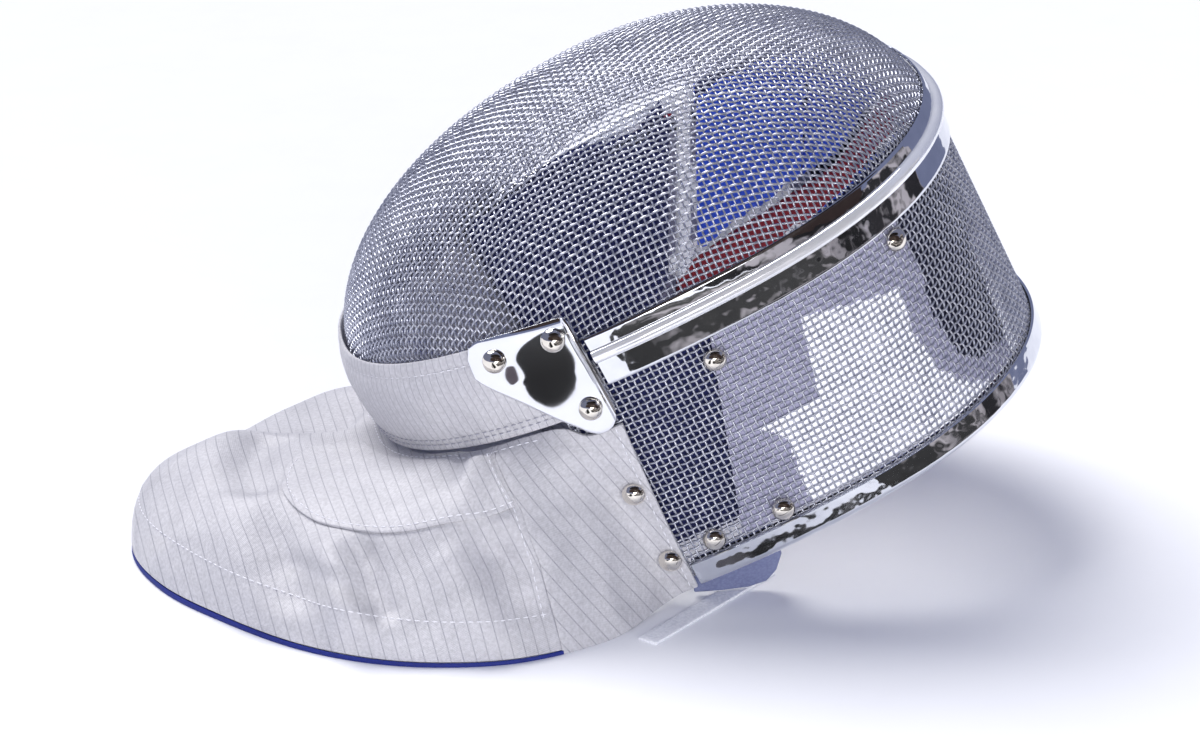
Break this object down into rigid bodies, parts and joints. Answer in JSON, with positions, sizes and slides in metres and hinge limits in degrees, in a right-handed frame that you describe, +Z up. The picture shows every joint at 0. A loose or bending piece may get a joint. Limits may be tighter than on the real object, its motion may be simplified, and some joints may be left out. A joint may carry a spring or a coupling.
{
  "type": "fencing mask",
  "caption": "Fencing mask with a domed wire face, wire skirt, chromed seam trim, corner plates and rivets, padded lining and a stitched cloth bib, lying face up on its bib.",
  "frame": {"origin": "middle of the bounding box on the floor that the bib's hem stands on", "axes": "+Z up, +X from the bib towards the crown, -Y towards the wearer's left side"},
  "size_m": [0.3692, 0.2566, 0.2089],
  "materials": {
    "wire_mesh": "satin",
    "chromed_steel": "polished",
    "nickel_rivet": "polished",
    "bib_cloth": "matte",
    "hem_blue": "matte",
    "pad_navy": "matte",
    "pad_blue": "matte",
    "pad_white": "matte",
    "binding_red": "matte",
    "strap_cloth": "matte",
    "hook_tape": "matte"
  },
  "bodies": {
    "root": {"face_mesh": "wire_mesh", "side_mesh": "wire_mesh", "seam_trim": "chromed_steel", "back_rim": "chromed_steel", "collar": "bib_cloth", "bib_front": "bib_cloth", "throat_flap": "bib_cloth", "hem_binding": "hem_blue", "crown_pad": "pad_blue", "bib_side_left": "bib_cloth", "corner_plate_left": "chromed_steel", "cheek_pad_left": "pad_navy", "pad_stripe_left": "pad_white", "temple_pad_left": "pad_blue", "pad_backing_left": "pad_white", "pad_binding_left": "binding_red", "strap_tab_left": "strap_cloth", "hook_tape_left": "hook_tape", "rivet_plate_front_left": "nickel_rivet", "rivet_plate_upper_left": "nickel_rivet", "rivet_plate_lower_left": "nickel_rivet", "rivet_cloth_upper_left": "nickel_rivet", "rivet_cloth_lower_left": "nickel_rivet", "rivet_rim_front_left": "nickel_rivet", "rivet_rim_middle_left": "nickel_rivet", "rivet_seam_middle_left": "nickel_rivet", "rivet_seam_rear_left": "nickel_rivet", "bib_side_right": "bib_cloth", "corner_plate_right": "chromed_steel", "cheek_pad_right": "pad_navy", "pad_stripe_right": "pad_white", "temple_pad_right": "pad_blue", "pad_backing_right": "pad_white", "pad_binding_right": "binding_red", "strap_tab_right": "strap_cloth", "hook_tape_right": "hook_tape", "rivet_plate_front_right": "nickel_rivet", "rivet_plate_upper_right": "nickel_rivet", "rivet_plate_lower_right": "nickel_rivet", "rivet_cloth_upper_right": "nickel_rivet", "rivet_cloth_lower_right": "nickel_rivet", "rivet_rim_front_right": "nickel_rivet", "rivet_rim_middle_right": "nickel_rivet", "rivet_seam_middle_right": "nickel_rivet", "rivet_seam_rear_right": "nickel_rivet"}
  },
  "joints": []
}
